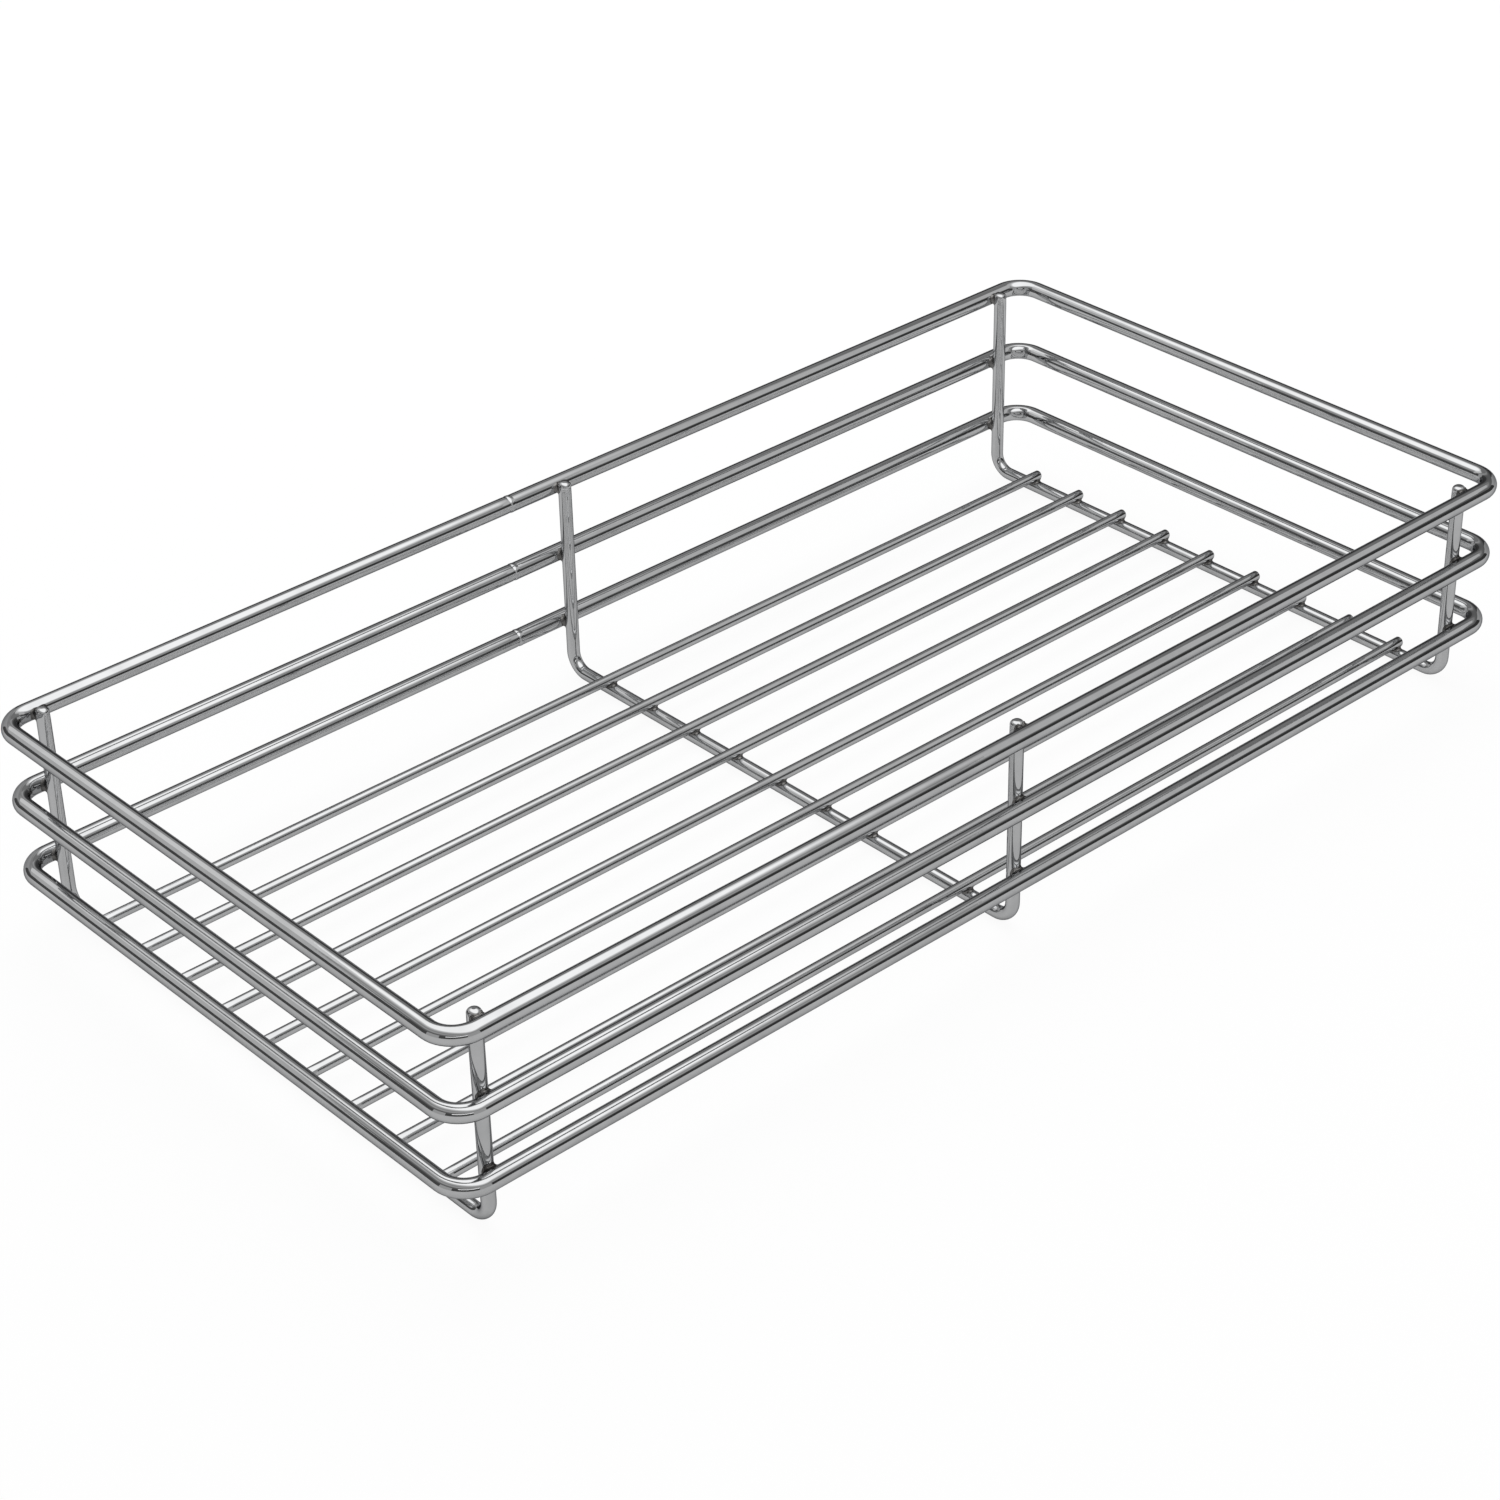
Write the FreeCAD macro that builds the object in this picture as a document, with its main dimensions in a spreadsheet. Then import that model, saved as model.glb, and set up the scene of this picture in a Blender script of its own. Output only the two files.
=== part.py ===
import FreeCAD, Part
import math
import os

import Sketcher
from FreeCAD import Placement, Rotation, Vector

# Wire basket for a side-mounted pull-out, in millimetres, +Z up.
# The origin is the middle of the footprint, on the plane that the ribs stand on.
# X runs along the basket and Y across it. The ribs' legs end just below the top of the rim.
#
# Three closed rings of thick wire make the walls. Three ribs, each bent to a U, stand inside
# the rings and pass under the lowest one. Nine thin wires lie on the ribs and make the floor.
# Every crossing is a resistance weld: the thinner wire is set a little into the thicker one,
# so it has a shallow saddle there, and the two meet face to face. The wires' free ends are cut
# flat, with a broken edge.

doc = FreeCAD.newDocument("WireBasket")

# The driving dimensions: alias, value, meaning
SIZES = [
    ("BasketLength", 467.0, "outside length of the rings, along X"),
    ("BasketWidth", 235.0, "outside width of the rings, along Y"),
    ("RimHeight", 75.0, "axis of the top ring above the plane that the ribs stand on"),
    ("RingSpacing", 26.9, "from one ring's axis to the next"),
    ("RingWire", 6.2, "diameter of the ring wire"),
    ("RingCorner", 9.5, "bend radius of the ring corners, at the wire's axis"),
    ("ButtWeldOffset", 24.0, "each ring's butt weld, left of the middle of its rear side"),
    ("ButtWeldWidth", 2.6, "length of the bead at the butt weld"),
    ("ButtWeldRise", 0.25, "height of that bead above the wire"),
    ("RibWire", 4.7, "diameter of the rib wire"),
    ("RibBend", 7.0, "bend radius of the ribs, at the wire's axis"),
    ("LeftRibInset", 13.0, "axis of the left rib, in from the axis of the rings' left side"),
    ("RightRibInset", 16.0, "axis of the right rib, in from the axis of their right side"),
    ("MiddleRibOffset", 3.0, "axis of the middle rib, left of the middle"),
    ("LegRise", 2.9, "top of the legs above the top ring's axis"),
    ("RibEndChamfer", 1.0, "broken edge round the flat top of each leg"),
    ("FloorWire", 3.8, "diameter of the floor wires"),
    ("FloorPitch", 22.2, "from one floor wire's axis to the next"),
    ("FloorOverhang", 2.4, "ends of the floor wires past the axes of the end ribs"),
    ("FloorEndChamfer", 0.8, "broken edge round each end of a floor wire"),
    ("WeldSet", 0.3, "how far one wire is set into the other at a weld"),
]
RING_NAMES = ["top_ring", "middle_ring", "lower_ring"]
RIB_NAMES = ["left_rib", "middle_rib", "right_rib"]
FLOOR_WIRE_COUNT = 9

sheet = doc.addObject("Spreadsheet::Sheet", "Sizes")
for row, (alias, number, meaning) in enumerate(SIZES, start=1):
    sheet.set(f"A{row}", alias)
    sheet.set(f"B{row}", str(number))
    sheet.setAlias(f"B{row}", alias)
    sheet.set(f"C{row}", meaning)
doc.recompute()

# Places that several pieces share, as formulas over the sheet
RING_HALF_LENGTH = "(Sizes.BasketLength - Sizes.RingWire) / 2"
RING_HALF_WIDTH = "(Sizes.BasketWidth - Sizes.RingWire) / 2"
RING_RADIUS = "Sizes.RingWire / 2"
RING_HEIGHTS = [f"(Sizes.RimHeight - {level} * Sizes.RingSpacing)" for level in range(3)]
RIB_RADIUS = "Sizes.RibWire / 2"
RIB_HALF_SPAN = f"({RING_HALF_WIDTH} - {RING_RADIUS} - {RIB_RADIUS} + Sizes.WeldSet)"
RIB_PLACES = [
    f"(Sizes.LeftRibInset - {RING_HALF_LENGTH})",
    "(-Sizes.MiddleRibOffset)",
    f"({RING_HALF_LENGTH} - Sizes.RightRibInset)",
]
LEG_END = "(Sizes.RimHeight + Sizes.LegRise - Sizes.RibEndChamfer)"
FLOOR_RADIUS = "Sizes.FloorWire / 2"
FLOOR_HEIGHT = f"(2 * {RIB_RADIUS} + {FLOOR_RADIUS} - Sizes.WeldSet)"
FLOOR_LEFT_END = f"({RIB_PLACES[0]} - Sizes.FloorOverhang)"
FLOOR_RIGHT_END = f"({RIB_PLACES[2]} + Sizes.FloorOverhang)"


def value(formula):
    """The number that a formula over the sheet gives now."""
    return float(sheet.evalExpression(formula))


def new_body(name):
    """An empty body whose label names the piece."""
    body = doc.addObject("PartDesign::Body", name)
    body.Label = name
    return body


def new_sketch(body, name, role, shift=("0", "0", "0")):
    """A sketch on one of the body's own origin planes, shifted in the plane's own axes."""
    sketch = body.newObject("Sketcher::SketchObject", name)
    plane = [f for f in body.Origin.OriginFeatures if f.Role == role][0]
    sketch.AttachmentSupport = [(plane, "")]
    sketch.MapMode = "FlatFace"
    sketch.AttachmentOffset = Placement(Vector(*[value(s) for s in shift]), Rotation())
    for axis, formula in zip("xyz", shift):
        if formula != "0":
            sketch.setExpression(f"AttachmentOffset.Base.{axis}", formula)
    return sketch


def line(sketch, start, end):
    """A straight piece of a sketch, and its number."""
    return sketch.addGeometry(Part.LineSegment(Vector(*start), Vector(*end)), False)


def arc(sketch, centre, radius, first, last):
    """An arc that runs anticlockwise between two angles in degrees, and its number."""
    circle = Part.Circle(Vector(*centre), Vector(0, 0, 1), radius)
    bow = Part.ArcOfCircle(circle, math.radians(first), math.radians(last))
    return sketch.addGeometry(bow, False)


def fix(sketch, kind, *terms, name=None, formula=None):
    """A constraint, with a name and a formula where it has a size."""
    number = sketch.addConstraint(Sketcher.Constraint(kind, *terms))
    if formula:
        sketch.renameConstraint(number, name)
        sketch.setExpression(f"Constraints.{name}", formula)


def circle_sketch(sketch, places, radius_formula):
    """Equal circles at the given places, each two formulas in the sketch's axes."""
    radius = value(radius_formula)
    for number, (across, up) in enumerate(places):
        centre = Vector(value(across), value(up))
        shape = Part.Circle(centre, Vector(0, 0, 1), radius)
        one = sketch.addGeometry(shape, False)
        fix(sketch, "Radius", one, radius, name=f"Radius{number}", formula=radius_formula)
        signed_distance(sketch, "DistanceX", one, 3, across, f"Across{number}")
        signed_distance(sketch, "DistanceY", one, 3, up, f"Up{number}")


def signed_distance(sketch, kind, edge, point, formula, name):
    """Ties a point of an edge to the sketch's origin, along one axis."""
    fix(sketch, kind, -1, 1, edge, point, value(formula), name=name, formula=formula)


def wire_pipe(body, path, profile):
    """Sweeps the round profile along the path."""
    pipe = body.newObject("PartDesign::AdditivePipe", "Wire")
    pipe.Profile = profile
    pipe.Spine = path
    doc.recompute()


def revolve(body, sketch, axis):
    """Turns a half profile once round an axis of its own sketch."""
    turned = body.newObject("PartDesign::Revolution", sketch.Name + "Turned")
    turned.Profile = sketch
    turned.ReferenceAxis = (sketch, [axis])
    turned.Angle = 360


def cut_seats(body, sketch, depth_formula):
    """Cuts the saddles of the wires that cross this one, as deep as the whole wire each way."""
    pocket = body.newObject("PartDesign::Pocket", "WeldSeats")
    pocket.Profile = sketch
    pocket.SideType = "Symmetric"
    pocket.Length = value(depth_formula)
    pocket.setExpression("Length", depth_formula)


def ring_path(body):
    """A rectangle with round corners, closed at the butt weld in the middle of the rear side."""
    path = new_sketch(body, "Path", "XY_Plane")
    x, y = value(RING_HALF_LENGTH), value(RING_HALF_WIDTH)
    r, weld = value("Sizes.RingCorner"), -value("Sizes.ButtWeldOffset")
    line(path, (weld, y), (r - x, y))
    arc(path, (r - x, y - r), r, 90, 180)
    line(path, (-x, y - r), (-x, r - y))
    arc(path, (r - x, r - y), r, 180, 270)
    line(path, (r - x, -y), (x - r, -y))
    arc(path, (x - r, r - y), r, 270, 360)
    line(path, (x, r - y), (x, y - r))
    arc(path, (x - r, y - r), r, 0, 90)
    last = line(path, (x - r, y), (weld, y))
    for edge in range(last):
        fix(path, "Tangent", edge, 2, edge + 1, 1)
    fix(path, "Coincident", last, 2, 0, 1)
    for edge in (0, 4, last):
        fix(path, "Horizontal", edge)
    for edge in (2, 6):
        fix(path, "Vertical", edge)
    for edge in (3, 5, 7):
        fix(path, "Equal", 1, edge)
    fix(path, "Radius", 1, r, name="Corner", formula="Sizes.RingCorner")
    signed_distance(path, "DistanceX", 0, 1, "-Sizes.ButtWeldOffset", "Weld")
    signed_distance(path, "DistanceY", 0, 1, RING_HALF_WIDTH, "Rear")
    signed_distance(path, "DistanceY", 4, 1, f"-{RING_HALF_WIDTH}", "Front")
    signed_distance(path, "DistanceX", 6, 1, RING_HALF_LENGTH, "Right")
    signed_distance(path, "DistanceX", 2, 1, f"-{RING_HALF_LENGTH}", "Left")
    return path


def butt_weld(body):
    """Half the outline of the bead where the ring's two ends meet, about the wire's axis."""
    shift = ("-Sizes.ButtWeldOffset", RING_HALF_WIDTH, "0")
    bead = new_sketch(body, "ButtWeld", "XY_Plane", shift)
    half, inner = value("Sizes.ButtWeldWidth") / 2, value(RING_RADIUS)
    rise = value("Sizes.ButtWeldRise")
    bow_radius = (half**2 + rise**2) / (2 * rise)
    reach = math.degrees(math.asin(half / bow_radius))
    centre = (0, inner + rise - bow_radius)
    base = line(bead, (-half, 0), (half, 0))
    right = line(bead, (half, 0), (half, inner))
    top = arc(bead, centre, bow_radius, 90 - reach, 90 + reach)
    left = line(bead, (-half, inner), (-half, 0))
    for first, second in ((base, right), (right, top), (top, left), (left, base)):
        fix(bead, "Coincident", first, 2, second, 1)
    fix(bead, "Horizontal", base)
    fix(bead, "Vertical", right)
    fix(bead, "Vertical", left)
    fix(bead, "PointOnObject", base, 1, -1)
    signed_distance(bead, "DistanceX", right, 1, "Sizes.ButtWeldWidth / 2", "RightFoot")
    signed_distance(bead, "DistanceX", left, 2, "-Sizes.ButtWeldWidth / 2", "LeftFoot")
    signed_distance(bead, "DistanceY", right, 2, RING_RADIUS, "RightFootHeight")
    signed_distance(bead, "DistanceY", left, 1, RING_RADIUS, "LeftFootHeight")
    bow = "((Sizes.ButtWeldWidth / 2) ^ 2 + Sizes.ButtWeldRise ^ 2) / (2 * Sizes.ButtWeldRise)"
    fix(bead, "Radius", top, bow_radius, name="Bow", formula=bow)
    revolve(body, bead, "H_Axis")


def make_ring(name, height):
    """One closed ring of the walls, butt-welded in its rear side."""
    body = new_body(name)
    path = ring_path(body)
    profile = new_sketch(body, "Section", "YZ_Plane", ("0", "0", "-Sizes.ButtWeldOffset"))
    circle_sketch(profile, [(RING_HALF_WIDTH, "0")], RING_RADIUS)
    wire_pipe(body, path, profile)
    butt_weld(body)
    body.setExpression("Placement.Base.z", height)
    return body


def rib_path(body):
    """An open U: the front leg, the part under the floor, and the rear leg."""
    path = new_sketch(body, "Path", "YZ_Plane")
    y, r, base = value(RIB_HALF_SPAN), value("Sizes.RibBend"), value(RIB_RADIUS)
    end = value(LEG_END)
    line(path, (-y, end), (-y, base + r))
    arc(path, (r - y, base + r), r, 180, 270)
    line(path, (r - y, base), (y - r, base))
    arc(path, (y - r, base + r), r, 270, 360)
    last = line(path, (y, base + r), (y, end))
    for edge in range(last):
        fix(path, "Tangent", edge, 2, edge + 1, 1)
    fix(path, "Vertical", 0)
    fix(path, "Horizontal", 2)
    fix(path, "Vertical", last)
    fix(path, "Equal", 1, 3)
    fix(path, "Radius", 1, r, name="Bend", formula="Sizes.RibBend")
    signed_distance(path, "DistanceX", 0, 1, f"-{RIB_HALF_SPAN}", "Front")
    signed_distance(path, "DistanceX", last, 2, RIB_HALF_SPAN, "Rear")
    signed_distance(path, "DistanceY", 0, 1, LEG_END, "FrontEnd")
    signed_distance(path, "DistanceY", last, 2, LEG_END, "RearEnd")
    signed_distance(path, "DistanceY", 2, 1, RIB_RADIUS, "Base")
    return path


def leg_end(body, name, across, end):
    """The flat top of a leg with its broken edge: half its outline, turned about the leg."""
    cap = new_sketch(body, name, "YZ_Plane", (across, end, "0"))
    r, edge = value(RIB_RADIUS), value("Sizes.RibEndChamfer")
    foot = line(cap, (0, 0), (r, 0))
    bevel = line(cap, (r, 0), (r - edge, edge))
    top = line(cap, (r - edge, edge), (0, edge))
    axis = line(cap, (0, edge), (0, 0))
    for first, second in ((foot, bevel), (bevel, top), (top, axis), (axis, foot)):
        fix(cap, "Coincident", first, 2, second, 1)
    fix(cap, "Coincident", foot, 1, -1, 1)
    fix(cap, "Horizontal", foot)
    fix(cap, "Horizontal", top)
    fix(cap, "Vertical", axis)
    signed_distance(cap, "DistanceX", foot, 2, RIB_RADIUS, "Foot")
    signed_distance(cap, "DistanceY", axis, 1, "Sizes.RibEndChamfer", "Top")
    signed_distance(cap, "DistanceX", bevel, 2, f"{RIB_RADIUS} - Sizes.RibEndChamfer", "Edge")
    revolve(body, cap, "V_Axis")


def make_rib(name, place):
    """One rib, with flat leg tops and a saddle at each ring that it is welded to."""
    body = new_body(name)
    path = rib_path(body)
    profile = new_sketch(body, "Section", "XY_Plane", ("0", "0", LEG_END))
    circle_sketch(profile, [("0", f"-{RIB_HALF_SPAN}")], RIB_RADIUS)
    wire_pipe(body, path, profile)
    leg_end(body, "FrontTop", f"-{RIB_HALF_SPAN}", LEG_END)
    leg_end(body, "RearTop", RIB_HALF_SPAN, LEG_END)
    seats = new_sketch(body, "Rings", "YZ_Plane")
    sides = (f"-{RING_HALF_WIDTH}", RING_HALF_WIDTH)
    circle_sketch(seats, [(side, up) for side in sides for up in RING_HEIGHTS], RING_RADIUS)
    cut_seats(body, seats, "2 * Sizes.RibWire")
    body.setExpression("Placement.Base.x", place)
    return body


def make_floor_wire(name, across):
    """One straight floor wire with broken end edges and a saddle at each rib it lies on."""
    body = new_body(name)
    half = new_sketch(body, "HalfOutline", "XZ_Plane")
    left, right, r = value(FLOOR_LEFT_END), value(FLOOR_RIGHT_END), value(FLOOR_RADIUS)
    edge = value("Sizes.FloorEndChamfer")
    corners = [(left, 0), (right, 0), (right, r - edge), (right - edge, r), (left + edge, r),
               (left, r - edge)]
    lines = [line(half, a, b) for a, b in zip(corners, corners[1:] + corners[:1])]
    for first, second in zip(lines, lines[1:] + lines[:1]):
        fix(half, "Coincident", first, 2, second, 1)
    axis, right_face, right_bevel, side, left_bevel, left_face = lines
    fix(half, "PointOnObject", axis, 1, -1)
    for level in (axis, side):
        fix(half, "Horizontal", level)
    for upright in (left_face, right_face):
        fix(half, "Vertical", upright)
    signed_distance(half, "DistanceX", axis, 1, FLOOR_LEFT_END, "Left")
    signed_distance(half, "DistanceX", axis, 2, FLOOR_RIGHT_END, "Right")
    signed_distance(half, "DistanceY", side, 1, FLOOR_RADIUS, "Side")
    flat = f"{FLOOR_RADIUS} - Sizes.FloorEndChamfer"
    signed_distance(half, "DistanceY", right_face, 2, flat, "RightFlat")
    signed_distance(half, "DistanceY", left_face, 1, flat, "LeftFlat")
    inner_right = f"{FLOOR_RIGHT_END} - Sizes.FloorEndChamfer"
    inner_left = f"{FLOOR_LEFT_END} + Sizes.FloorEndChamfer"
    signed_distance(half, "DistanceX", right_bevel, 2, inner_right, "RightBevel")
    signed_distance(half, "DistanceX", left_bevel, 1, inner_left, "LeftBevel")
    revolve(body, half, "H_Axis")
    seats = new_sketch(body, "Ribs", "XZ_Plane")
    drop = f"{RIB_RADIUS} - {FLOOR_HEIGHT}"
    circle_sketch(seats, [(place, drop) for place in RIB_PLACES], RIB_RADIUS)
    cut_seats(body, seats, "2 * Sizes.FloorWire")
    body.setExpression("Placement.Base.y", across)
    body.setExpression("Placement.Base.z", FLOOR_HEIGHT)
    return body


def check_and_write(bodies):
    """Stops on a failed object or a bad shape, then writes one STEP file for each piece."""
    for item in doc.Objects:
        if "Invalid" in item.State or "Error" in item.State:
            raise RuntimeError(f"{item.Label} failed: {item.State}")
    os.makedirs("parts", exist_ok=True)
    for body in bodies:
        shape = body.Shape
        if shape.isNull() or not shape.isValid() or len(shape.Solids) != 1:
            raise RuntimeError(f"{body.Label} has no single valid solid")
        shape.exportStep(os.path.join("parts", body.Label + ".step"))
        print(f"{body.Label}: {shape.Volume:.1f} mm3, {len(shape.Faces)} faces")


bodies = [make_ring(name, height) for name, height in zip(RING_NAMES, RING_HEIGHTS)]
bodies += [make_rib(name, place) for name, place in zip(RIB_NAMES, RIB_PLACES)]
for number in range(FLOOR_WIRE_COUNT):
    steps_from_middle = (FLOOR_WIRE_COUNT - 1) / 2 - number
    across = f"{steps_from_middle} * Sizes.FloorPitch"
    bodies.append(make_floor_wire(f"floor_wire_{number + 1}", across))
doc.recompute()
check_and_write(bodies)
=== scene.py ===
import math

import bmesh
import bpy
from mathutils import Matrix, Vector, noise

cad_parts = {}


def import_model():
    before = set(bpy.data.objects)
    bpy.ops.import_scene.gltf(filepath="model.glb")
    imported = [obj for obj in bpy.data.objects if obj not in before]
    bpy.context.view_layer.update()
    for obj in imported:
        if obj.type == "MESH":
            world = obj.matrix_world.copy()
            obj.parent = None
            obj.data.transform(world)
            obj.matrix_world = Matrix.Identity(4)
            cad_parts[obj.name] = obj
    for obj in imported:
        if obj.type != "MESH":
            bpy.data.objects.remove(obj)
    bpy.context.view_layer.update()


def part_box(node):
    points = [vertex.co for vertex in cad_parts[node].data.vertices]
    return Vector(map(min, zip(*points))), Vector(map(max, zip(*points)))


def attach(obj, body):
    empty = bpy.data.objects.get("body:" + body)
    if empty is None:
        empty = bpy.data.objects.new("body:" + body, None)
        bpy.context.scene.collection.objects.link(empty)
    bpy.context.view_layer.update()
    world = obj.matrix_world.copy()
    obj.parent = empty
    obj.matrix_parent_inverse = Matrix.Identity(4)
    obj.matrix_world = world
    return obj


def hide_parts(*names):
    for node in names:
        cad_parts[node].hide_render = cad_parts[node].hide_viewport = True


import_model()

# All lengths are in metres. The wires' places come from the boxes of the solid pieces.
MM = 0.001
X_AXIS = Vector((1, 0, 0))
Y_AXIS = Vector((0, 1, 0))
Z_AXIS = Vector((0, 0, 1))

RINGS = ("top_ring", "middle_ring", "lower_ring")
RIBS = ("left_rib", "middle_rib", "right_rib")
FLOOR_WIRES = [f"floor_wire_{number}" for number in range(1, 10)]

# Thicknesses and bends of the wires, as in the solid pieces
RING_WIRE = 6.2 * MM
RIB_WIRE = 4.7 * MM
FLOOR_WIRE = 3.8 * MM
RING_CORNER = 9.5 * MM
RIB_BEND = 7 * MM
BUTT_WELD = 24 * MM

# How finely the wires are meshed: sides round them, stations along them, steps in a quarter turn
RING_SIDES, RING_STATION = 48, 6 * MM
RIB_SIDES, RIB_STATION = 40, 5 * MM
FLOOR_SIDES, FLOOR_STATION = 32, 6 * MM
BEND_STEPS = 12
END_STEPS = 6

# Workmanship that a drawing leaves out: flattened bends, round ends, the waviness of drawn wire.
# The clearance is a share of an end's round, the inset one of its flat face.
BEND_FLATTENING = 0.035
LEG_END_ROUND = 1.7 * MM
FLOOR_END_ROUND = 0.8 * MM
END_CLEARANCE = 1.05
CAP_INSET = 0.8
RIPPLE = 0.035 * MM
RIPPLE_FREQUENCY = 46

# The butt weld of a ring: its bead, the step between the two ends and the notch beside them.
# Stations and reach are in half widths of the bead.
BEAD_HALF_WIDTH = 0.9 * MM
BEAD_RISE = 0.09 * MM
BEAD_STATIONS = (0.12, 0.3, 0.5, 0.75, 0.95, 1.15, 1.35, 1.6, 2.2)
BEAD_REACH = 2.4
BEAD_STEP = 0.08 * MM
STEP_DIRECTION = Vector((0, -0.3, -1))
STEP_HALF_WIDTH = 0.5 * MM
STEP_FADE = 9 * MM
NOTCH_PLACE = -1.15 * MM
NOTCH_HALF_WIDTH = 0.4 * MM
NOTCH_DEPTH = 0.09 * MM

# Radii of the fillets where wires cross: beside the thinner wire, and along it
RING_FILLET = (1.15 * MM, 0.6 * MM)
RIM_FILLET = (1.15 * MM, 0.22 * MM)
FLOOR_FILLET = (0.8 * MM, 0.5 * MM)
FILLET_UNEVENNESS = 0.3
FILLET_WAVES = 1.7
FILLET_SINK = 1.12
COLLAR_STEPS = 48
FILLET_STEPS = 6
RING_COLLAR_SEED = 3.1
FLOOR_COLLAR_SEED = 2.3

# Finishes: colours and roughnesses of clean and hazy spots, and the strength of the grain
PLATE = {"clean": (0.55, 0.555, 0.56), "hazy": (0.50, 0.505, 0.51), "roughness": (0.02, 0.05),
         "grain": 0.08}
# The weld collars get dark colours: painted shade of the crevice where two wires meet, on a
# rougher finish.
WELD_CREVICE_SHADE = {"clean": (0.20, 0.195, 0.19), "hazy": (0.06, 0.058, 0.055), "roughness": (0.16, 0.34),
         "grain": 0.5}
EDGE_TINT = (0.28, 0.28, 0.29, 1)
HAZE_SCALE, HAZE_DETAIL = 90, 3
HAZE_COLOUR_RANGE = (0.30, 0.55)
HAZE_GLOSS_RANGE = (0.30, 0.70)
GRAIN_SCALE, GRAIN_DETAIL = 420, 2
GRAIN_DEPTH = 0.05 * MM

# Camera of the photograph. Its frame is 1500 pixels square, and angles are in degrees.
PHOTO_SIZE = 1500
SENSOR_WIDTH = 36.0
FOCAL_PIXELS = 3489.8
CENTRE_X = 693.5
AZIMUTH = 40.543
ELEVATION = 32.468
ROLL = -1.923
DISTANCE = 1.116
TARGET = Vector((-0.0598, -0.02156, 0.05195))

# Light on everything but mirrors, and the lamp that draws the shadow on the floor
SOFT_LIGHT = 0.62
SOFTBOX = {"place": (0.75, 0.85, 1.5), "aim": (0, 0, 0.05), "size": (1.7, 1.7), "radiance": 1.6}

# The floor: its paper, its own white, and how much of that shows straight and in mirrors
FLOOR_HALF = 8.0
FLOOR_PAPER = (0.55, 0.55, 0.55, 1)
FLOOR_WHITE = 1.09
FLOOR_SEEN = 0.85
FLOOR_MIRRORED = 0.4

# The glowing sheet over the basket, seen by mirrors alone: its place, how far it is stretched
# along Y, and its brightness at distances from its middle
CEILING_PLACE = (0.0, -0.06, 1.0)
CEILING_STRETCH = 1.75
CEILING_SIDES = 48
CEILING_GLOW = ((0.50, 1.6), (0.60, 0.95), (0.74, 0.6), (0.95, 0.34), (1.2, 0.55), (1.6, 0.2),
                (2.2, 0.15))

# Lit cards just under that sheet: outline in plan and brightness
BOUNCE_DROP = 0.02
BOUNCE_CARDS = {
    "rear_bounce": (((0.3, 0.92), (-0.25, 0.74), (-0.55, 0.82), (-0.55, 1.45), (0.3, 1.3)), 1.0),
    "left_bounce": (((-0.55, 0.82), (-1.25, 1.17), (-2.0, 1.62), (-2.0, 2.2), (-0.9, 1.7),
                     (-0.55, 1.45)), 0.66),
    "right_bounce": (((0.66, 0.1), (0.69, -0.4), (0.85, -0.85), (1.12, -1.25), (1.6, -1.3),
                      (1.35, -0.6), (1.2, 0.15)), 0.7),
}

# Curved cards that stand round the basket: first and last azimuth, lowest and highest
# elevation, distance, brightness. Four pale ones stand on the axes.
CARD_BASE = 0.05
CARD_FACET = 6
CARDS = {
    "rear_low": (0, 66, -1, 32, 3.0, 0.08),
    "rear_flag": (0, 66, 32, 46, 1.25, 0.27),
    "right_flag": (-100, 0, -1, 36, 3.0, 0.05),
    "left_flag": (66, 260, -1, 32, 3.0, 0.09),
    "near_bar": (-152, -110, 14, 18, 1.2, 1.8),
}
for middle in (0, 90, 180, 270):
    CARDS[f"pale_card_{middle}"] = (middle - 15, middle + 15, -1, 24, 2.5, 0.5)


def new_material(name):
    """An empty node material, its nodes and its links."""
    material = bpy.data.materials.new(name)
    material.use_nodes = True
    material.node_tree.nodes.clear()
    return material, material.node_tree.nodes, material.node_tree.links


def add_node(nodes, kind, values=None, **settings):
    """A new shader node with its settings and the values of its inputs."""
    node = nodes.new(f"ShaderNode{kind}")
    for name, value in settings.items():
        setattr(node, name, value)
    for name, value in (values or {}).items():
        node.inputs[name].default_value = value
    return node


def remap(nodes, links, source, low, high, to_low=0.0, to_high=1.0):
    """Spreads what lies between low and high over another range."""
    spread = add_node(nodes, "MapRange", {"From Min": low, "From Max": high,
                                          "To Min": to_low, "To Max": to_high})
    links.new(source, spread.inputs["Value"])
    return spread.outputs[0]


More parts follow.
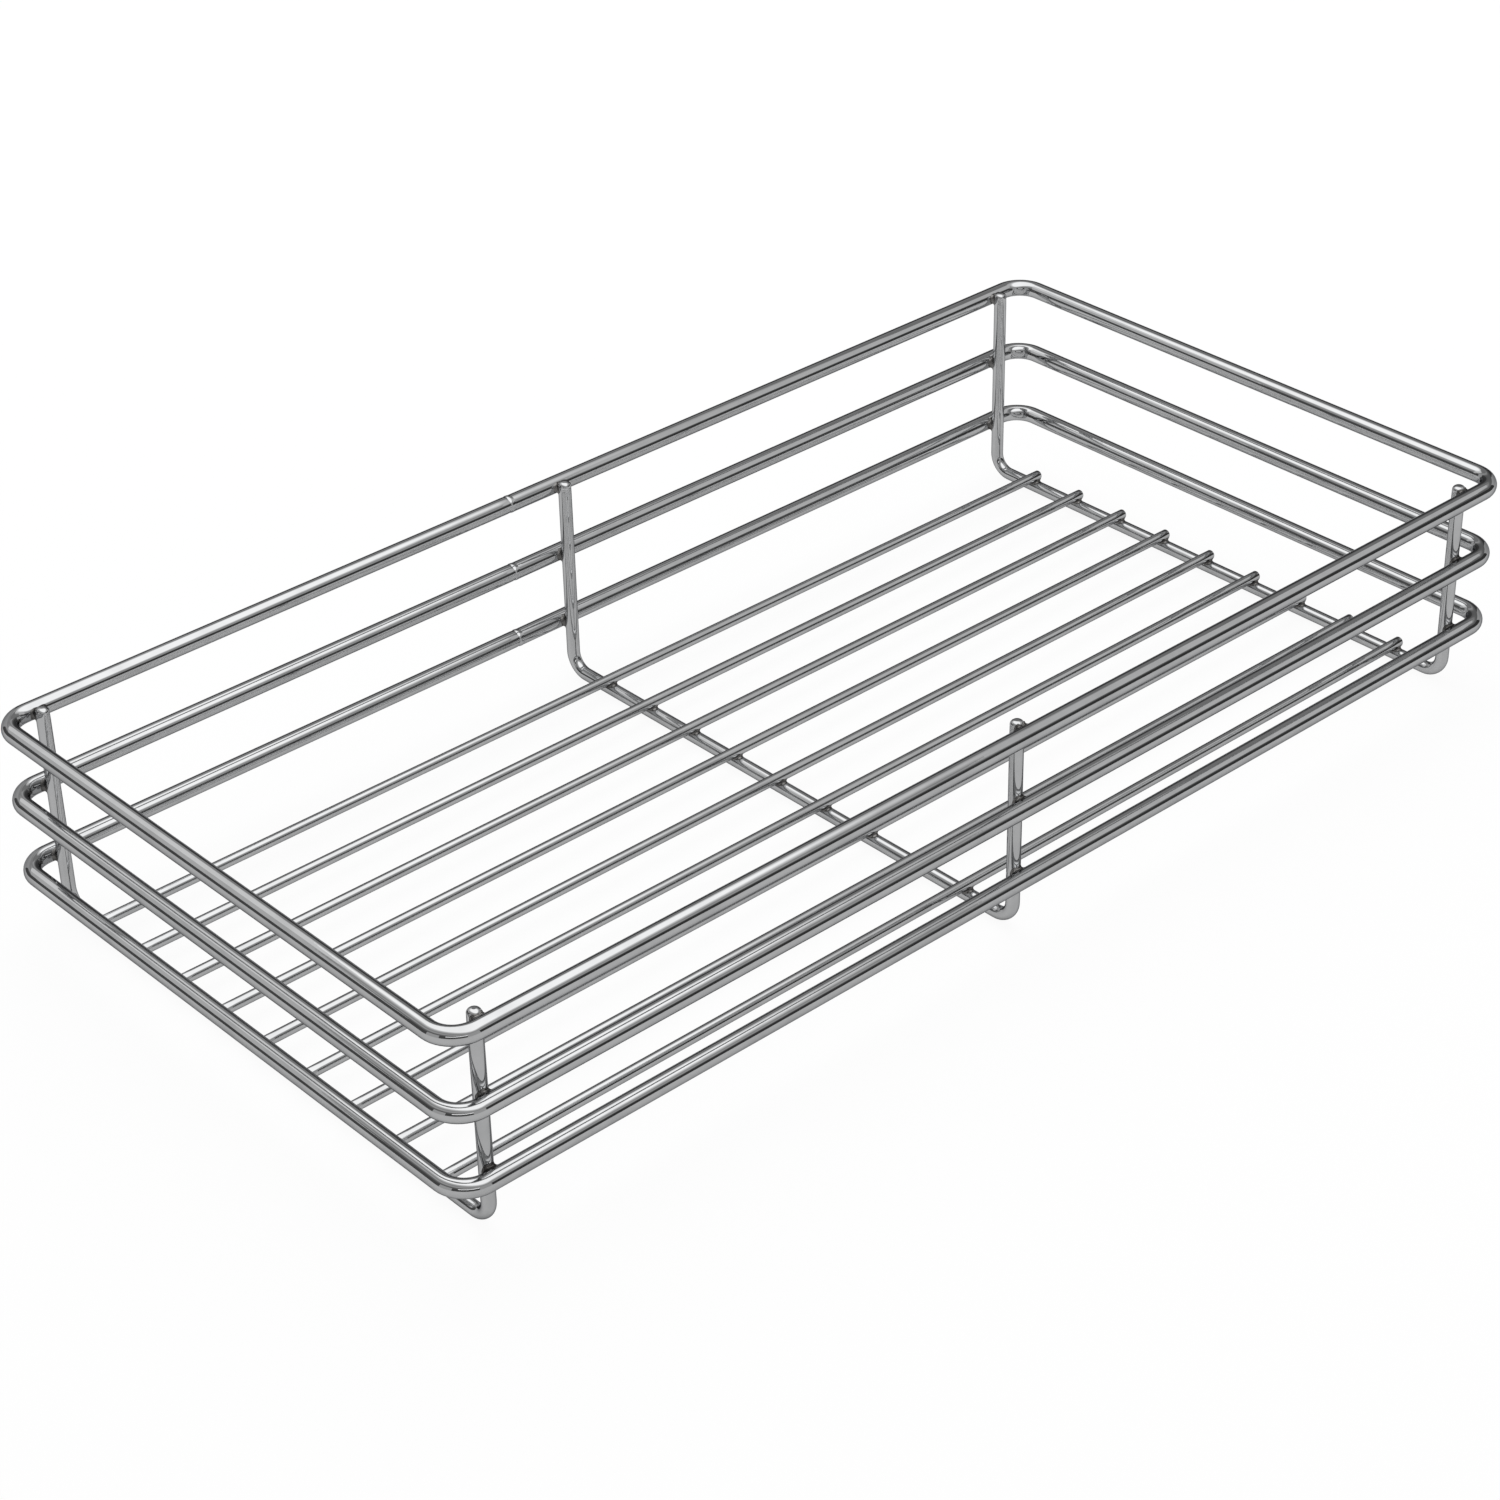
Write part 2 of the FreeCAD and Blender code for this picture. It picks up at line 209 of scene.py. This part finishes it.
def chrome(name, clean, hazy, roughness, grain):
    """Bright chrome plate: metal with a trace of haze and the drawn wire's fine grain. Given dark
    colours, it paints the shade round the welds.

    roughness is that of the clean spots and that of the hazy ones.
    """
    material, nodes, links = new_material(name)
    out = add_node(nodes, "OutputMaterial")
    shader = add_node(nodes, "BsdfPrincipled", {"Metallic": 1.0, "Specular Tint": EDGE_TINT})
    place = add_node(nodes, "TexCoord")
    haze = add_node(nodes, "TexNoise", {"Scale": HAZE_SCALE, "Detail": HAZE_DETAIL})
    links.new(place.outputs["Object"], haze.inputs["Vector"])
    tone = add_node(nodes, "Mix", {"A": (*hazy, 1), "B": (*clean, 1)}, data_type="RGBA")
    cleanness = remap(nodes, links, haze.outputs["Fac"], *HAZE_COLOUR_RANGE)
    links.new(cleanness, tone.inputs["Factor"])
    links.new(tone.outputs["Result"], shader.inputs["Base Color"])
    dullness = remap(nodes, links, haze.outputs["Fac"], *HAZE_GLOSS_RANGE, roughness[1],
                     roughness[0])
    links.new(dullness, shader.inputs["Roughness"])
    lines = add_node(nodes, "TexNoise", {"Scale": GRAIN_SCALE, "Detail": GRAIN_DETAIL})
    links.new(place.outputs["Object"], lines.inputs["Vector"])
    relief = add_node(nodes, "Bump", {"Strength": grain, "Distance": GRAIN_DEPTH})
    links.new(lines.outputs["Fac"], relief.inputs["Height"])
    links.new(relief.outputs[0], shader.inputs["Normal"])
    links.new(shader.outputs[0], out.inputs[0])
    return material


def bent_path(corners, bend, step, closed=False):
    """Stations along a wire that turns each corner in an arc: place, direction, share of bend.

    The corners are flat vectors. A closed wire starts and ends at its first corner, straight.
    """
    end = corners[0] if closed else corners[-1]
    turns = corners[1:] if closed else corners[1:-1]
    stations, here = [], corners[0]
    for corner, ahead in zip(turns, turns[1:] + [end]):
        arriving, leaving = (corner - here).normalized(), (ahead - corner).normalized()
        first, last = corner - arriving * bend, corner + leaving * bend
        add_straight(stations, here, first, step)
        centre = first + leaving * bend
        for part in range(1, BEND_STEPS + 1):
            turn = part / BEND_STEPS * math.pi / 2
            place = centre - leaving * bend * math.cos(turn) + arriving * bend * math.sin(turn)
            direction = arriving * math.cos(turn) + leaving * math.sin(turn)
            stations.append((place, direction, math.sin(2 * turn) ** 2))
        here = last
    add_straight(stations, here, end, step)
    if closed:
        stations.pop()
    return stations


def add_straight(stations, start, end, step):
    """Adds even stations of a straight run, without repeating the place before it."""
    direction = (end - start).normalized()
    count = max(1, round((end - start).length / step))
    for part in range(1 if stations else 0, count + 1):
        stations.append((start.lerp(end, part / count), direction, 0.0))


def ripple(place, seed):
    """The slight waviness of drawn wire, between -1 and 1."""
    return noise.noise(Vector((place.x * RIPPLE_FREQUENCY + seed, place.y * RIPPLE_FREQUENCY,
                               place.z * RIPPLE_FREQUENCY)))


def sweep(name, stations, upright, radius, sides, seed, round_end=0, lift=None):
    """A closed mesh of one wire. Without a round end the wire closes on itself.

    radius gives the wire's radius at a place along it, lift the shift of its axis there.
    """
    work = bmesh.new()
    rows = []
    places = list(stations)
    shrink = [0.0] * len(places)
    if round_end:
        places, shrink = with_ends(places, round_end)
    for (place, direction, bow), less in zip(places, shrink):
        across = upright.cross(direction).normalized()
        size = radius(place) - less - RIPPLE * (1 + ripple(place, seed)) / 2
        middle = place + (lift(place) if lift else Vector())
        row = []
        for side in range(sides):
            angle = 2 * math.pi * side / sides
            wide = across * math.cos(angle) * size * (1 - BEND_FLATTENING * bow)
            row.append(work.verts.new(middle + wide + upright * math.sin(angle) * size))
        rows.append(row)
    pairs = list(zip(rows, rows[1:]))
    if round_end:
        for row in (rows[0], rows[-1]):
            close_end(work, row)
    else:
        pairs.append((rows[-1], rows[0]))
    for one, two in pairs:
        join_rows(work, one, two)
    return finished(name, work)


def join_rows(work, one, two):
    """Faces between two closed rows of points."""
    for side in range(len(one)):
        after = (side + 1) % len(one)
        work.faces.new((one[side], one[after], two[after], two[side]))


def with_ends(stations, size):
    """Adds the round edge of both ends of an open wire."""
    places, shrink = [], []
    turns = [math.pi / 2 * part / END_STEPS for part in range(END_STEPS)]
    first, last = stations[0], stations[-1]
    for angle in turns:
        places.append((first[0] + first[1] * size * (1 - math.cos(angle)), first[1], 0.0))
        shrink.append(size * (1 - math.sin(angle)))
    inner = [s for s in stations if (s[0] - first[0]).length > size * END_CLEARANCE]
    inner = [s for s in inner if (s[0] - last[0]).length > size * END_CLEARANCE]
    for station in inner:
        places.append(station)
        shrink.append(0.0)
    for angle in reversed(turns):
        places.append((last[0] - last[1] * size * (1 - math.cos(angle)), last[1], 0.0))
        shrink.append(size * (1 - math.sin(angle)))
    return places, shrink


def close_end(work, row):
    """Fills the flat face of a cut end, with one more row so that its edge shades cleanly."""
    middle = sum((v.co for v in row), Vector()) / len(row)
    inner = [work.verts.new(middle.lerp(v.co, CAP_INSET)) for v in row]
    tip = work.verts.new(middle)
    join_rows(work, row, inner)
    for side in range(len(row)):
        work.faces.new((inner[side], inner[(side + 1) % len(row)], tip))


def finished(name, work):
    """Turns the working mesh into a smooth object with its faces outwards."""
    bmesh.ops.recalc_face_normals(work, faces=work.faces)
    for face in work.faces:
        face.smooth = True
    mesh = bpy.data.meshes.new(name)
    work.to_mesh(mesh)
    work.free()
    item = bpy.data.objects.new(name, mesh)
    bpy.context.scene.collection.objects.link(item)
    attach(item, "root")
    return item


def make_ring(node, seed):
    """One ring, butt-welded in its rear side, where its two ends don't quite meet."""
    low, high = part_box(node)
    half = RING_WIRE / 2
    left, right, front = low.x + half, high.x - half, low.y + half
    rear, level = -front, (low.z + high.z) / 2
    weld = Vector((-BUTT_WELD, rear, level))
    corners = [weld]
    for x, y in ((left, rear), (left, front), (right, front), (right, rear)):
        corners.append(Vector((x, y, level)))
    stations = with_bead(bent_path(corners, RING_CORNER, RING_STATION, closed=True), weld)
    return sweep(f"{node}_wire", stations, Z_AXIS, lambda place: ring_radius(place, weld),
                 RING_SIDES, seed, lift=lambda place: ring_shift(place, weld))


def with_bead(stations, weld):
    """Adds close stations at the butt weld at the start and end of a ring."""
    back = -X_AXIS
    after = [(weld + back * BEAD_HALF_WIDTH * n, back, 0.0) for n in BEAD_STATIONS]
    before = [(weld - back * BEAD_HALF_WIDTH * n, back, 0.0) for n in reversed(BEAD_STATIONS)]
    middle = [s for s in stations if (s[0] - weld).length > BEAD_REACH * BEAD_HALF_WIDTH]
    return [(weld, back, 0.0)] + after + middle + before


def ring_radius(place, weld):
    """A ring's radius, with the bead of its butt weld and the notch beside it."""
    half = RING_WIRE / 2
    if place.y < weld.y - half:
        return half
    along = (place.x - weld.x) / BEAD_HALF_WIDTH
    beside = (place.x - weld.x - NOTCH_PLACE) / NOTCH_HALF_WIDTH
    bead = BEAD_RISE * max(0.0, 1 - along * along)
    return half + bead - NOTCH_DEPTH * math.exp(-beside * beside)


def ring_shift(place, weld):
    """How far a ring's axis lies off, because its two ends were welded a little out of line."""
    if place.y < weld.y - RING_WIRE / 2:
        return Vector()
    along = place.x - weld.x
    fade = math.exp(-abs(along) / STEP_FADE)
    side = max(-1.0, min(1.0, along / STEP_HALF_WIDTH))
    return STEP_DIRECTION * BEAD_STEP * side * fade / 2


def make_rib(node, seed):
    """One rib: two legs and the part that passes under the floor wires."""
    low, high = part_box(node)
    half = RIB_WIRE / 2
    middle = (low.x + high.x) / 2
    front, rear, base = low.y + half, high.y - half, low.z + half
    corners = [Vector((middle, front, high.z)), Vector((middle, front, base)),
               Vector((middle, rear, base)), Vector((middle, rear, high.z))]
    return sweep(f"{node}_wire", bent_path(corners, RIB_BEND, RIB_STATION), X_AXIS,
                 lambda place: half, RIB_SIDES, seed, round_end=LEG_END_ROUND)


def make_floor_wire(node, seed):
    """One straight wire of the floor."""
    low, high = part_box(node)
    half = FLOOR_WIRE / 2
    across, level = (low.y + high.y) / 2, high.z - half
    stations = []
    add_straight(stations, Vector((low.x, across, level)), Vector((high.x, across, level)),
                 FLOOR_STATION)
    return sweep(f"{node}_wire", stations, Z_AXIS, lambda place: half, FLOOR_SIDES, seed,
                 round_end=FLOOR_END_ROUND)


def weld_collar(name, centre, axes, radii, apart, fillet, seed):
    """The metal squeezed out round a crossing of two wires.

    A ball that rolls in the groove between the wires draws it. centre lies on the thick wire's
    axis, axes are the directions of the thick wire, of the thin one and from the thick to the
    thin one, radii those of the thick and the thin wire, apart the distance of their axes.
    """
    along, across, up = axes
    thick, thin = radii
    work = bmesh.new()
    rows = []
    for step in range(COLLAR_STEPS):
        turn = 2 * math.pi * step / COLLAR_STEPS
        wave = noise.noise(Vector((math.cos(turn) * FILLET_WAVES + seed,
                                   math.sin(turn) * FILLET_WAVES, seed)))
        ball = fillet[0] * math.cos(turn) ** 2 + fillet[1] * math.sin(turn) ** 2
        ball *= 1 + FILLET_UNEVENNESS * wave
        top, bottom = thick + ball, apart - thin - ball
        height = (top + bottom) / 2 + (top - bottom) / 2 * math.cos(2 * turn)
        side = math.copysign(math.sqrt(max(0.0, (thin + ball) ** 2 - (height - apart) ** 2)),
                             math.cos(turn))
        depth = math.copysign(math.sqrt(max(0.0, top ** 2 - height ** 2)), math.sin(turn))
        spot = Vector((side, depth, height))
        to_thick = Vector((0, -depth, -height)).normalized()
        to_thin = Vector((-side, 0, apart - height)).normalized()
        spread = to_thick.angle(to_thin)
        sunk = ball * (1 / math.cos(spread / 2) * FILLET_SINK)
        row = [spot + to_thick.slerp(to_thin, part / FILLET_STEPS) * ball
               for part in range(FILLET_STEPS + 1)]
        row += [spot + to_thin * sunk, spot + to_thick * sunk]
        rows.append([work.verts.new(centre + along * p.x + across * p.y + up * p.z) for p in row])
    for one, two in zip(rows, rows[1:] + rows[:1]):
        join_rows(work, one, two)
    return finished(name, work)


def ring_welds():
    """Collars where the ribs' legs stand in the rings."""
    made = []
    for rib in RIBS:
        low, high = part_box(rib)
        middle, leg = (low.x + high.x) / 2, high.y - RIB_WIRE / 2
        for ring in RINGS:
            ring_low, ring_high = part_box(ring)
            level = (ring_low.z + ring_high.z) / 2
            side = ring_low.y + RING_WIRE / 2
            fillet = RIM_FILLET if ring == RINGS[0] else RING_FILLET
            for end, sign in (("front", 1), ("rear", -1)):
                made.append(weld_collar(f"weld_{rib}_{ring}_{end}",
                                        Vector((middle, side * sign, level)),
                                        (X_AXIS, Z_AXIS, Y_AXIS * sign),
                                        (RING_WIRE / 2, RIB_WIRE / 2), -side - leg, fillet,
                                        len(made) * RING_COLLAR_SEED))
    return made


def floor_welds():
    """Collars where the floor wires lie on the ribs."""
    made = []
    for rib in RIBS:
        low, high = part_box(rib)
        middle, base = (low.x + high.x) / 2, low.z + RIB_WIRE / 2
        for wire in FLOOR_WIRES:
            wire_low, wire_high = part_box(wire)
            across = (wire_low.y + wire_high.y) / 2
            level = wire_high.z - FLOOR_WIRE / 2
            made.append(weld_collar(f"weld_{rib}_{wire}", Vector((middle, across, base)),
                                    (Y_AXIS, X_AXIS, Z_AXIS), (RIB_WIRE / 2, FLOOR_WIRE / 2),
                                    level - base, FLOOR_FILLET, len(made) * FLOOR_COLLAR_SEED))
    return made


def dress(item, material, node=None):
    """Gives a piece its finish and hides the solid piece that it stands in for."""
    item.data.materials.append(material)
    if node:
        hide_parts(node)


def seen_rays(nodes, links, direct, mirrored):
    """The share of a background's own white: for straight rays, and for mirrors and glass."""
    path = add_node(nodes, "LightPath")
    shares = []
    for ray, share in (("Is Camera Ray", direct), ("Is Glossy Ray", mirrored),
                       ("Is Transmission Ray", mirrored)):
        part = add_node(nodes, "Math", {1: share}, operation="MULTIPLY")
        links.new(path.outputs[ray], part.inputs[0])
        shares.append(part.outputs[0])
    while len(shares) > 1:
        most = add_node(nodes, "Math", operation="MAXIMUM")
        links.new(shares.pop(), most.inputs[0])
        links.new(shares.pop(), most.inputs[1])
        shares.append(most.outputs[0])
    return shares[0]


def world():
    """White where it is seen, plain soft light for everything else."""
    studio = bpy.data.worlds.new("studio")
    bpy.context.scene.world = studio
    studio.use_nodes = True
    nodes, links = studio.node_tree.nodes, studio.node_tree.links
    nodes.clear()
    out = add_node(nodes, "OutputWorld")
    mix = add_node(nodes, "MixShader")
    soft = add_node(nodes, "Background", {"Color": (1, 1, 1, 1), "Strength": SOFT_LIGHT})
    white = add_node(nodes, "Background", {"Color": (1, 1, 1, 1), "Strength": 1.0})
    links.new(seen_rays(nodes, links, 1.0, 1.0), mix.inputs[0])
    links.new(soft.outputs[0], mix.inputs[1])
    links.new(white.outputs[0], mix.inputs[2])
    links.new(mix.outputs[0], out.inputs[0])


def flat_mesh(name, points, faces, material):
    """A piece of the studio, not of the basket."""
    mesh = bpy.data.meshes.new(name)
    mesh.from_pydata(points, [], faces)
    mesh.materials.append(material)
    item = bpy.data.objects.new(name, mesh)
    bpy.context.scene.collection.objects.link(item)
    return item


def floor():
    """The pale floor. It keeps a trace of the basket's shadow."""
    material, nodes, links = new_material("floor")
    out = add_node(nodes, "OutputMaterial")
    mix = add_node(nodes, "MixShader")
    paper = add_node(nodes, "BsdfDiffuse", {"Color": FLOOR_PAPER})
    glow = add_node(nodes, "Emission", {"Strength": FLOOR_WHITE})
    links.new(seen_rays(nodes, links, FLOOR_SEEN, FLOOR_MIRRORED), mix.inputs[0])
    links.new(paper.outputs[0], mix.inputs[1])
    links.new(glow.outputs[0], mix.inputs[2])
    links.new(mix.outputs[0], out.inputs[0])
    r = FLOOR_HALF
    flat_mesh("floor", [(-r, -r, 0), (r, -r, 0), (r, r, 0), (-r, r, 0)], [(0, 1, 2, 3)], material)


def card_material(name, strength):
    """The plain glow of a card that only mirrors show."""
    material, nodes, links = new_material(name)
    out = add_node(nodes, "OutputMaterial")
    glow = add_node(nodes, "Emission", {"Strength": strength})
    links.new(glow.outputs[0], out.inputs[0])
    return material


def only_mirrored(item):
    """A studio card shows in the metal and nowhere else."""
    item.visible_camera = False
    item.visible_diffuse = False
    item.visible_shadow = False
    item.visible_transmission = False


def standing_card(name, first, last, low, high, distance, strength):
    """A curved card between two azimuths and two elevations, all in degrees."""
    count = max(2, round((last - first) / CARD_FACET))
    points = []
    for elevation in (low, high):
        height = math.radians(elevation)
        for k in range(count + 1):
            azimuth = math.radians(first + (last - first) * k / count)
            points.append((distance * math.cos(azimuth) * math.cos(height),
                           distance * math.sin(azimuth) * math.cos(height),
                           distance * math.sin(height) + CARD_BASE))
    n = count + 1
    faces = [(k, k + 1, n + k + 1, n + k) for k in range(count)]
    only_mirrored(flat_mesh(name, points, faces, card_material(name, strength)))


def ceiling():
    """A sheet that glows over the basket, brightest in its middle, seen by mirrors alone."""
    radius, brightest = CEILING_GLOW[-1][0], CEILING_GLOW[0][1]
    material, nodes, links = new_material("ceiling")
    out = add_node(nodes, "OutputMaterial")
    place = add_node(nodes, "TexCoord")
    away = add_node(nodes, "VectorMath", operation="LENGTH")
    links.new(place.outputs["Object"], away.inputs[0])
    share = add_node(nodes, "Math", {1: radius}, operation="DIVIDE")
    links.new(away.outputs["Value"], share.inputs[0])
    fall = add_node(nodes, "ValToRGB")
    stops = fall.color_ramp.elements
    while len(stops) < len(CEILING_GLOW):
        stops.new(0.5)
    for stop, (distance, brightness) in zip(stops, CEILING_GLOW):
        level = brightness / brightest
        stop.position = distance / radius
        stop.color = (level, level, level, 1)
    links.new(share.outputs[0], fall.inputs[0])
    glow = add_node(nodes, "Emission", {"Strength": brightest})
    links.new(fall.outputs[0], glow.inputs["Color"])
    links.new(glow.outputs[0], out.inputs[0])
    turns = [2 * math.pi * k / CEILING_SIDES for k in range(CEILING_SIDES)]
    points = [(radius * math.cos(turn), radius * math.sin(turn), 0) for turn in turns]
    sheet = flat_mesh("ceiling", points, [tuple(range(CEILING_SIDES))], material)
    sheet.location = CEILING_PLACE
    sheet.scale.y = CEILING_STRETCH
    only_mirrored(sheet)


def bounce_card(name, outline, strength):
    """A lit card just under the ceiling, which only one end of the basket mirrors."""
    height = CEILING_PLACE[2] - BOUNCE_DROP
    points = [(x, y, height) for x, y in outline]
    card = flat_mesh(name, points, [tuple(range(len(points)))], card_material(name, strength))
    only_mirrored(card)


def lamp(name, place, aim, size, radiance):
    """A soft box that draws the basket's soft shadow on the floor."""
    light = bpy.data.lights.new(name, "AREA")
    light.shape = "RECTANGLE"
    light.size, light.size_y = size
    light.energy = radiance * math.pi * size[0] * size[1]
    item = bpy.data.objects.new(name, light)
    item.location = place
    item.rotation_euler = (Vector(aim) - Vector(place)).to_track_quat("-Z", "Y").to_euler()
    item.visible_camera = False
    item.visible_glossy = False
    bpy.context.scene.collection.objects.link(item)


def camera():
    """The photograph's viewpoint."""
    azimuth, elevation, roll = (math.radians(a) for a in (AZIMUTH, ELEVATION, ROLL))
    forward = Vector((math.sin(azimuth) * math.cos(elevation),
                      math.cos(azimuth) * math.cos(elevation), -math.sin(elevation)))
    level = Vector((math.cos(azimuth), -math.sin(azimuth), 0))
    upright = level.cross(forward)
    right = level * math.cos(roll) + upright * math.sin(roll)
    up = upright * math.cos(roll) - level * math.sin(roll)
    lens = bpy.data.cameras.new("camera")
    lens.sensor_width = SENSOR_WIDTH
    lens.lens = SENSOR_WIDTH * FOCAL_PIXELS / PHOTO_SIZE
    lens.shift_x = (PHOTO_SIZE / 2 - CENTRE_X) / PHOTO_SIZE
    lens.clip_start = 10 * MM
    item = bpy.data.objects.new("camera", lens)
    turn = Matrix((right, up, -forward)).transposed()
    item.matrix_world = Matrix.Translation(TARGET - forward * DISTANCE) @ turn.to_4x4()
    bpy.context.scene.collection.objects.link(item)
    bpy.context.scene.camera = item


plate = chrome("chrome", **PLATE)
# The second finish paints the shade in the crevices round the welds.
weld_crevice_shade = chrome("chrome_painted_weld_shade", **WELD_CREVICE_SHADE)

# Each kind of wire: slot, nodes, maker, and the first seed and step of its ripple
for slot, nodes, make, first_seed, seed_step in (
        ("ring_wire", RINGS, make_ring, 0, 7.3),
        ("rib_wire", RIBS, make_rib, 31, 5.7),
        ("floor_wire", FLOOR_WIRES, make_floor_wire, 61, 4.9)):
    for number, node in enumerate(nodes):
        dress(make(node, first_seed + number * seed_step), plate, node)
# The weld collars carry the painted crevice shade.
for collar in ring_welds():
    dress(collar, weld_crevice_shade)
for collar in floor_welds():
    dress(collar, weld_crevice_shade)

world()
floor()
ceiling()
for name, (outline, strength) in BOUNCE_CARDS.items():
    bounce_card(name, outline, strength)
for name, card in CARDS.items():
    standing_card(name, *card)
lamp("softbox", **SOFTBOX)
camera()
bpy.context.scene.view_settings.view_transform = "Standard"
